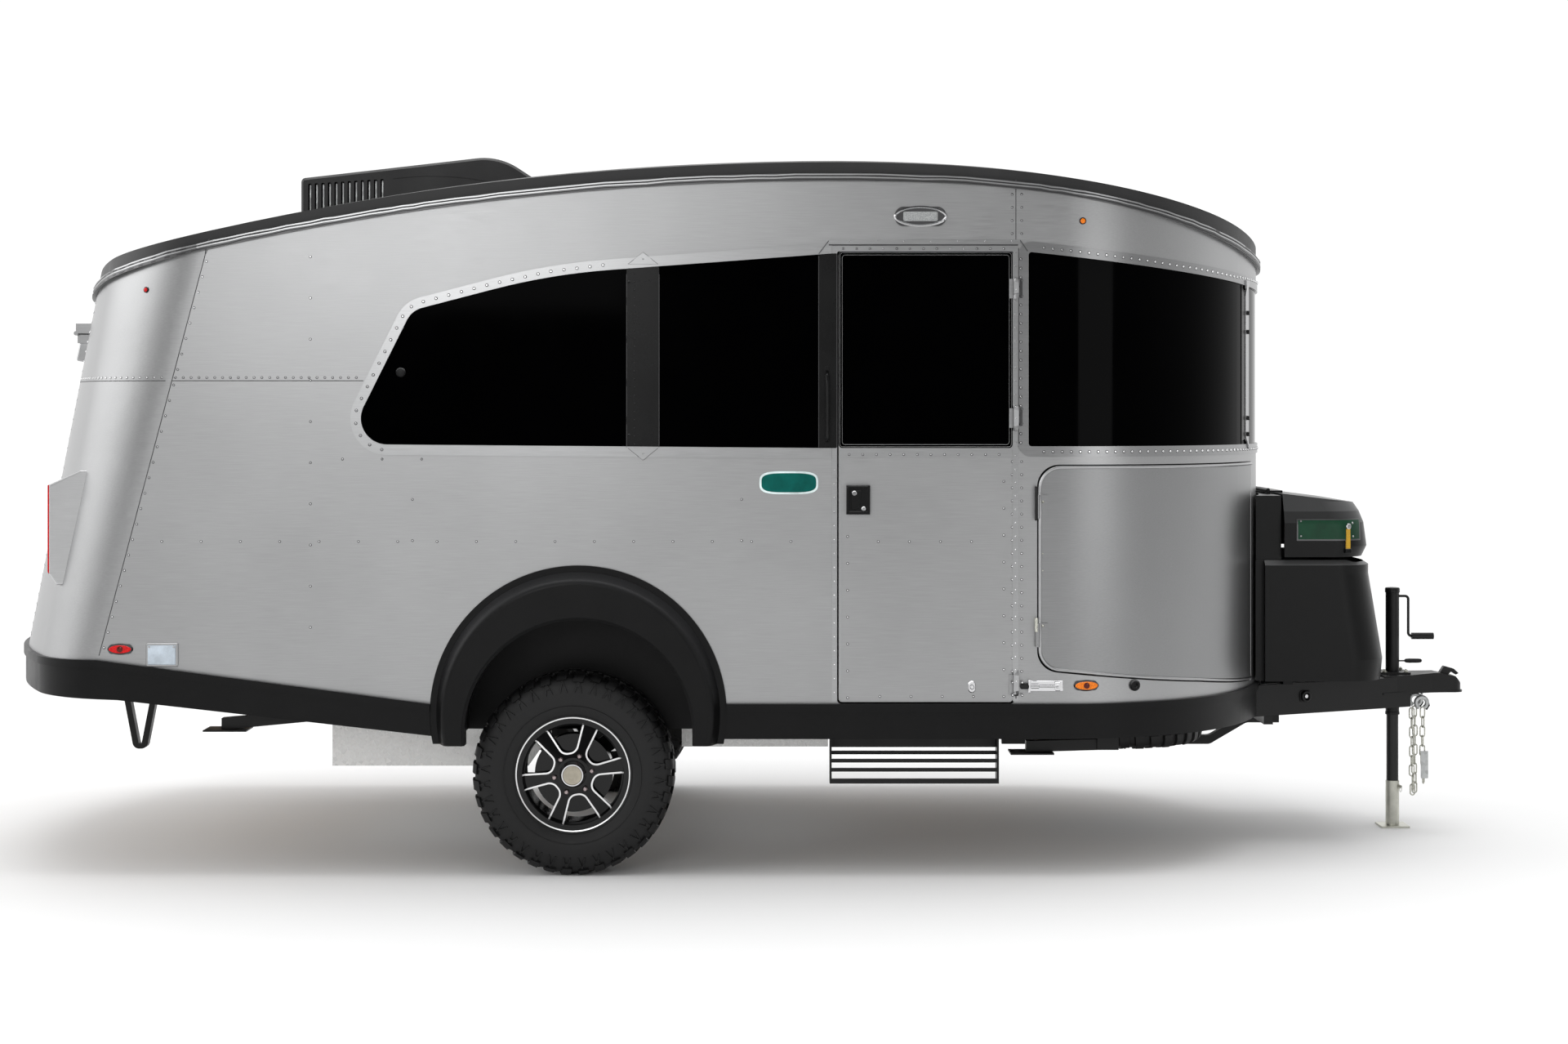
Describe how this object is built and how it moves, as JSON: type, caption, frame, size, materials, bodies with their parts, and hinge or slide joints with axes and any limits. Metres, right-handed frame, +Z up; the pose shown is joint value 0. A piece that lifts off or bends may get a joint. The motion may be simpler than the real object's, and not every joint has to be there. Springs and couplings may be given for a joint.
{
  "type": "travel trailer",
  "caption": "Riveted aluminium travel trailer with a rounded nose and leaning tail, a door, storage doors, a rear hatch, a drawbar box and a tongue jack.",
  "frame": {"origin": "on the ground under the middle of the overall length and width", "axes": "+X towards the coupler, +Y towards the street side, +Z up"},
  "size_m": [6.0598, 2.44, 2.825],
  "materials": {
    "skin": "brushed satin",
    "bright_trim": "polished",
    "roof": "satin charcoal",
    "dark_plastic": "fine grain",
    "cooler_plastic": "satin",
    "box_plastic": "grained",
    "window_glass": "dark tint",
    "window_post": "gloss black",
    "plywood": "plain",
    "frame_paint": "satin black",
    "galvanised": "galvanised",
    "zinc": "zinc plated",
    "tyre": "matte",
    "wheel_metal": "gloss black, machined edges",
    "red_lens": "clear gloss",
    "side_lamp_lens": "clear gloss"
  },
  "bodies": {
    "trailer": {"air_conditioner": "cooler_plastic", "axle_beam": "frame_paint", "belly_band": "dark_plastic", "chassis_frame": "frame_paint", "coupler": "frame_paint", "drip_rail": "bright_trim", "entry_step": "frame_paint", "flare_left": "dark_plastic", "flare_right": "dark_plastic", "floor_panel": "plywood", "glass_front": "window_glass", "glass_left": "window_glass", "glass_right": "window_glass", "jack_tube": "frame_paint", "roof_panel": "roof", "safety_chains": "zinc", "side_lamps": "side_lamp_lens", "skid_strap": "frame_paint", "spare_carrier": "frame_paint", "spare_wheel": "tyre", "stabiliser_brackets": "frame_paint", "storage_box": "box_plastic", "tail_lamp_left": "skin", "tail_lamp_right": "skin", "tail_lens_left": "red_lens", "tail_lens_right": "red_lens", "tank_pans": "galvanised", "wall_front": "skin", "wall_left": "skin", "wall_rear": "skin", "wall_right": "skin", "wheel_tub_left": "dark_plastic", "wheel_tub_right": "dark_plastic", "window_posts": "window_post", "window_trim_front": "bright_trim", "window_trim_left": "bright_trim", "window_trim_right": "bright_trim"},
    "wheel_right": {"tyre_right": "tyre", "rim_right": "wheel_metal"},
    "wheel_left": {"tyre_left": "tyre", "rim_left": "wheel_metal"},
    "entry_door": {"entry_door": "skin", "door_glass": "window_glass", "door_handle": "window_post"},
    "storage_door_right": {"storage_door_right": "skin"},
    "storage_door_left": {"storage_door_left": "skin"},
    "rear_hatch": {"rear_hatch": "skin", "hatch_glass": "window_glass"},
    "box_lid": {"box_lid": "box_plastic"},
    "jack_leg": {"jack_leg": "zinc"},
    "stabiliser_rear_right": {"stabiliser_rear_right": "frame_paint"},
    "stabiliser_rear_left": {"stabiliser_rear_left": "frame_paint"},
    "stabiliser_front_right": {"stabiliser_front_right": "frame_paint"},
    "stabiliser_front_left": {"stabiliser_front_left": "frame_paint"}
  },
  "joints": [
    {"name": "wheel_right_spin", "type": "hinge", "parent": "trailer", "child": "wheel_right", "pos_m": [-0.679, -1.006, 0.387], "axis": [0, 1, 0], "continuous": true},
    {"name": "wheel_left_spin", "type": "hinge", "parent": "trailer", "child": "wheel_left", "pos_m": [-0.679, 1.006, 0.387], "axis": [0, 1, 0], "continuous": true},
    {"name": "entry_door_hinge", "type": "hinge", "parent": "trailer", "child": "entry_door", "pos_m": [1.01, -1.159, 1.5], "axis": [0, 0, 1], "range_deg": [0, 150]},
    {"name": "storage_right_hinge", "type": "hinge", "parent": "trailer", "child": "storage_door_right", "pos_m": [1.095, -1.159, 1.15], "axis": [0, 0, 1], "range_deg": [-100, 0]},
    {"name": "storage_left_hinge", "type": "hinge", "parent": "trailer", "child": "storage_door_left", "pos_m": [1.095, 1.159, 1.15], "axis": [0, 0, 1], "range_deg": [0, 100]},
    {"name": "rear_hatch_hinge", "type": "hinge", "parent": "trailer", "child": "rear_hatch", "pos_m": [-2.77986, 0, 2.096], "axis": [0, 1, 0], "range_deg": [0, 80]},
    {"name": "box_lid_hinge", "type": "hinge", "parent": "trailer", "child": "box_lid", "pos_m": [2.15, 0, 1.446], "axis": [0, -1, 0], "range_deg": [0, 70]},
    {"name": "jack_slide", "type": "slide", "parent": "trailer", "child": "jack_leg", "axis": [0, 0, 1], "range_m": [-0.095, 0.275]},
    {"name": "stabiliser_rear_right_hinge", "type": "hinge", "parent": "trailer", "child": "stabiliser_rear_right", "pos_m": [-1.7, -0.85, 0.585], "axis": [0, -1, 0], "range_deg": [0, 50]},
    {"name": "stabiliser_rear_left_hinge", "type": "hinge", "parent": "trailer", "child": "stabiliser_rear_left", "pos_m": [-1.7, 0.85, 0.585], "axis": [0, -1, 0], "range_deg": [0, 50]},
    {"name": "stabiliser_front_right_hinge", "type": "hinge", "parent": "trailer", "child": "stabiliser_front_right", "pos_m": [1.4, -0.85, 0.47], "axis": [0, -1, 0], "range_deg": [0, 50]},
    {"name": "stabiliser_front_left_hinge", "type": "hinge", "parent": "trailer", "child": "stabiliser_front_left", "pos_m": [1.4, 0.85, 0.47], "axis": [0, -1, 0], "range_deg": [0, 50]}
  ]
}
